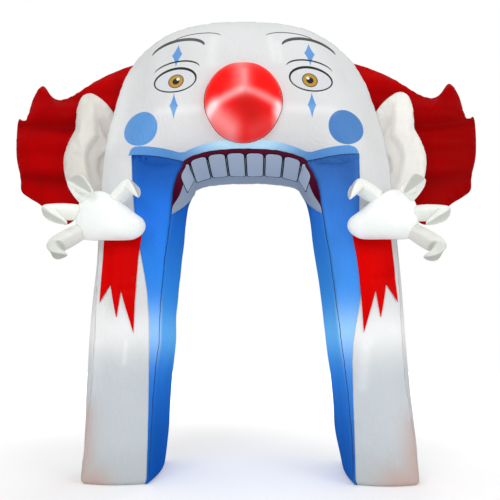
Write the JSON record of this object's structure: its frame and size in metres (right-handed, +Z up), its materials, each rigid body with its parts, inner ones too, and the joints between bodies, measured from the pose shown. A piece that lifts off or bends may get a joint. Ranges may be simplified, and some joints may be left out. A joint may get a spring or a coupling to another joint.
{
  "type": "inflatable arch",
  "caption": "Blow-up cloth walk-through arch: a white head bridges the passage, with a round red nose, ears, red side hair, open hands and blue-lined legs.",
  "frame": {"origin": "on the ground, under the middle of the whole box", "axes": "+Z up, the face looks along -Y, +X to the right of someone who faces the arch"},
  "size_m": [3.1765, 0.9595, 2.887],
  "materials": {
    "white_cloth": "smooth coated polyester with a soft sheen",
    "ear_cloth": "smooth off-white polyester",
    "blue_cloth": "smooth coated polyester with a soft sheen",
    "mouth_cloth": "printed polyester",
    "red_cloth": "smooth coated polyester with a soft sheen",
    "nose_cloth": "glossy coated polyester"
  },
  "bodies": {
    "root": {"envelope": "white_cloth", "left_front_panel": "blue_cloth", "right_front_panel": "blue_cloth", "left_lining": "blue_cloth", "right_lining": "blue_cloth", "mouth_panel": "mouth_cloth", "nose": "nose_cloth", "left_ear": "ear_cloth", "right_ear": "ear_cloth", "left_hair": "red_cloth", "right_hair": "red_cloth", "left_red_points": "red_cloth", "right_red_points": "red_cloth", "left_palm": "white_cloth", "left_thumb": "white_cloth", "left_upper_finger": "white_cloth", "left_outer_finger": "white_cloth", "left_lower_finger": "white_cloth", "right_palm": "white_cloth", "right_thumb": "white_cloth", "right_upper_finger": "white_cloth", "right_outer_finger": "white_cloth", "right_lower_finger": "white_cloth"}
  },
  "joints": []
}
